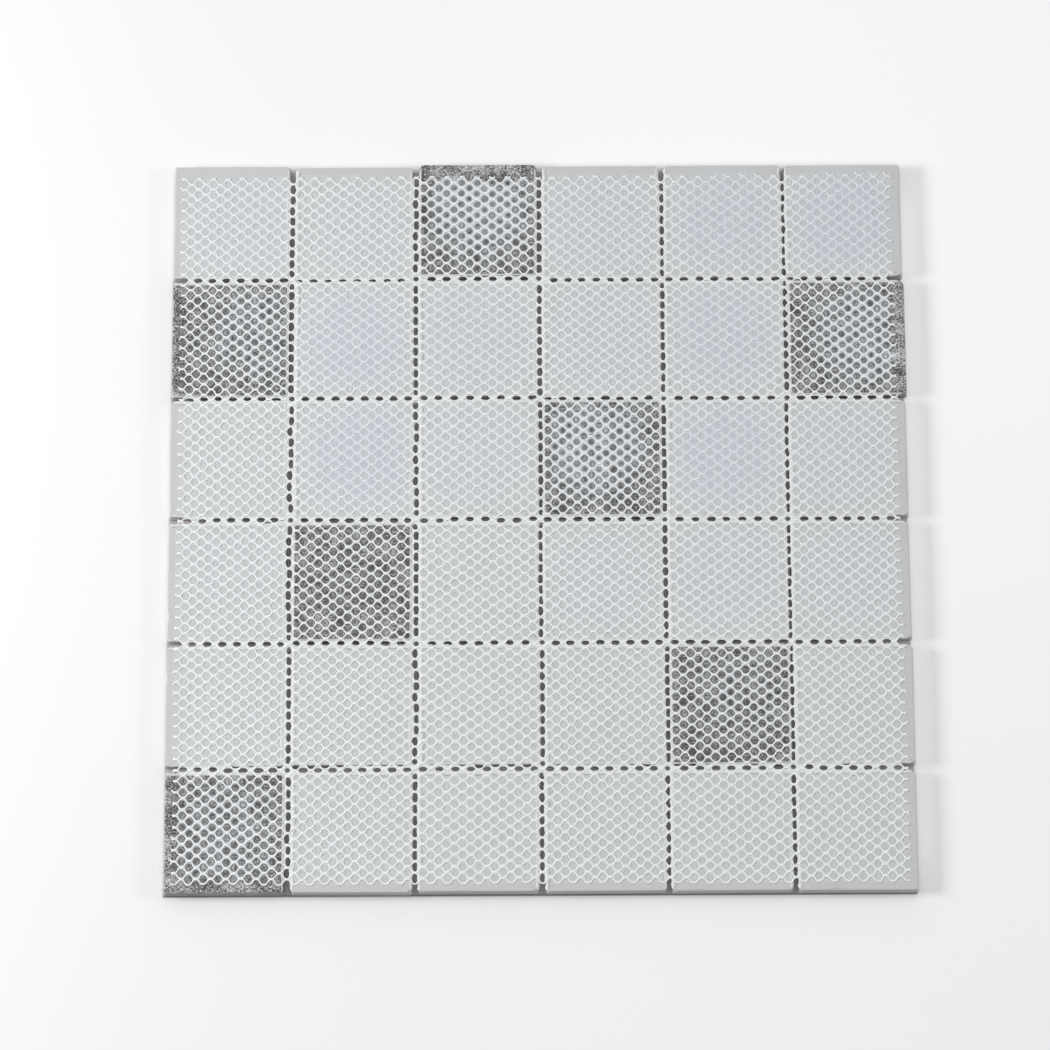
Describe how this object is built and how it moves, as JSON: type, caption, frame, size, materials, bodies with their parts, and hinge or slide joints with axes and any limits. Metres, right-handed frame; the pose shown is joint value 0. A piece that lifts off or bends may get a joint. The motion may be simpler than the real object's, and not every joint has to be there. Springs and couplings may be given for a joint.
{
  "type": "mosaic tile sheet",
  "caption": "Square sheet of small square porcelain chips, laid face down with open joints and held together by a net glued over their backs.",
  "frame": {"origin": "middle of the sheet's footprint, on the floor under the glazed faces", "axes": "+Z from the glazed faces up to the net side, +X along a row of chips, +Y towards the first row"},
  "size_m": [0.299, 0.299, 0.0064],
  "materials": {
    "light_chip": "matt, unglazed back",
    "dark_chip": "matt, speckled, unglazed back",
    "net": "knitted yarn stiffened with glue"
  },
  "bodies": {
    "root": {"dark_chip_r1_c3": "dark_chip", "dark_chip_r2_c1": "dark_chip", "dark_chip_r2_c6": "dark_chip", "dark_chip_r3_c4": "dark_chip", "dark_chip_r4_c2": "dark_chip", "dark_chip_r5_c5": "dark_chip", "dark_chip_r6_c1": "dark_chip", "light_chip_r1_c1": "light_chip", "light_chip_r1_c2": "light_chip", "light_chip_r1_c4": "light_chip", "light_chip_r1_c5": "light_chip", "light_chip_r1_c6": "light_chip", "light_chip_r2_c2": "light_chip", "light_chip_r2_c3": "light_chip", "light_chip_r2_c4": "light_chip", "light_chip_r2_c5": "light_chip", "light_chip_r3_c1": "light_chip", "light_chip_r3_c2": "light_chip", "light_chip_r3_c3": "light_chip", "light_chip_r3_c5": "light_chip", "light_chip_r3_c6": "light_chip", "light_chip_r4_c1": "light_chip", "light_chip_r4_c3": "light_chip", "light_chip_r4_c4": "light_chip", "light_chip_r4_c5": "light_chip", "light_chip_r4_c6": "light_chip", "light_chip_r5_c1": "light_chip", "light_chip_r5_c2": "light_chip", "light_chip_r5_c3": "light_chip", "light_chip_r5_c4": "light_chip", "light_chip_r5_c6": "light_chip", "light_chip_r6_c2": "light_chip", "light_chip_r6_c3": "light_chip", "light_chip_r6_c4": "light_chip", "light_chip_r6_c5": "light_chip", "light_chip_r6_c6": "light_chip", "net_falling_strands": "net", "net_rising_strands": "net"}
  },
  "joints": []
}
